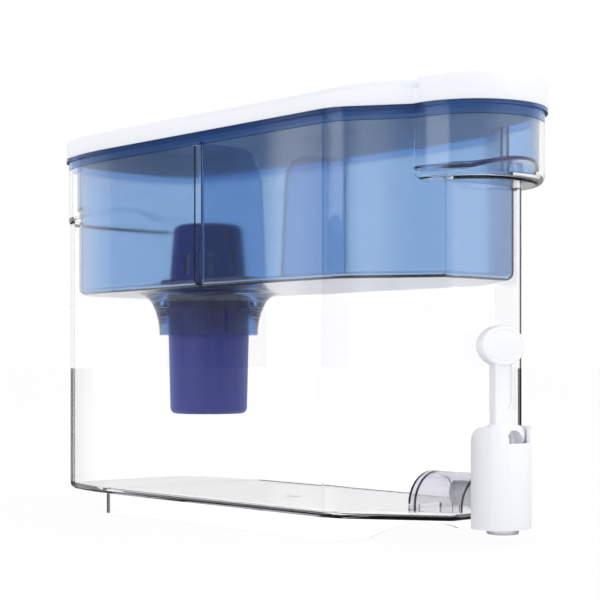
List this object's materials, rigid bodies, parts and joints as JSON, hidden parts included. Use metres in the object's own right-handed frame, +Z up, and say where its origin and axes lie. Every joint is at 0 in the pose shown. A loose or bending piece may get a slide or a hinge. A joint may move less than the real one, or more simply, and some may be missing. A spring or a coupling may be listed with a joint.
{
  "type": "gravity water filter dispenser",
  "caption": "Long clear water tank with a lift-out tinted reservoir, a hanging filter cartridge, a white lid and a lever tap at the narrow end.",
  "frame": {"origin": "on the shelf, under the middle of the whole dispenser's length and width", "axes": "+Z up; the tap faces -Y; the long sides face -X and +X"},
  "size_m": [0.136, 0.3733, 0.2505],
  "materials": {
    "clear_plastic": "clear",
    "blue_tint": "translucent blue",
    "navy_plastic": "satin",
    "mesh": "woven",
    "carbon": "granular",
    "seal_rubber": "matt",
    "white_plastic": "satin",
    "tap_white": "satin",
    "valve_plastic": "satin",
    "nozzle_plastic": "frosted",
    "hood_plastic": "clear",
    "band_rubber": "matt",
    "silicone": "matt",
    "steel": "drawn"
  },
  "bodies": {
    "dispenser": {"tank": "clear_plastic", "tap_housing": "tap_white", "tap_body": "valve_plastic", "spout_nozzle": "nozzle_plastic", "outer_gasket": "seal_rubber", "inner_washer": "seal_rubber", "shank_nut": "valve_plastic", "inlet_hood": "hood_plastic", "hood_ring": "band_rubber", "valve_bonnet": "valve_plastic", "stem_o_ring": "seal_rubber"},
    "reservoir": {"reservoir": "blue_tint"},
    "filter": {"filter_body": "navy_plastic", "filter_cap": "navy_plastic", "filter_media": "carbon", "inlet_screen": "mesh", "outlet_screen": "mesh", "filter_seal": "seal_rubber"},
    "lid": {"lid": "white_plastic"},
    "valve": {"valve_stem": "tap_white", "valve_seal": "silicone", "lever_pin": "steel", "valve_spring": "steel"},
    "lever": {"lever": "tap_white"}
  },
  "joints": [
    {"name": "reservoir_lift", "type": "slide", "parent": "dispenser", "child": "reservoir", "axis": [0, 0, 1], "range_m": [0, 0.18]},
    {"name": "filter_lift", "type": "slide", "parent": "reservoir", "child": "filter", "axis": [0, 0, 1], "range_m": [0, 0.038]},
    {"name": "lid_lift", "type": "slide", "parent": "reservoir", "child": "lid", "axis": [0, 0, 1], "range_m": [0, 0.1]},
    {"name": "valve_lift", "type": "slide", "parent": "dispenser", "child": "valve", "axis": [0, 0, 1], "range_m": [0, 0.0026], "deforming": ["valve_spring"]},
    {"name": "lever_tilt", "type": "hinge", "parent": "valve", "child": "lever", "pos_m": [0, -0.1674, 0.0565], "axis": [1, 0, 0], "range_deg": [0, 40], "stiffness_Nm_per_rad": 0.0111, "springref_deg": -45.84}
  ],
  "couplings": [
    {"joint": "valve_lift", "follows": "lever_tilt", "m_per_rad": 0.0037242}
  ]
}
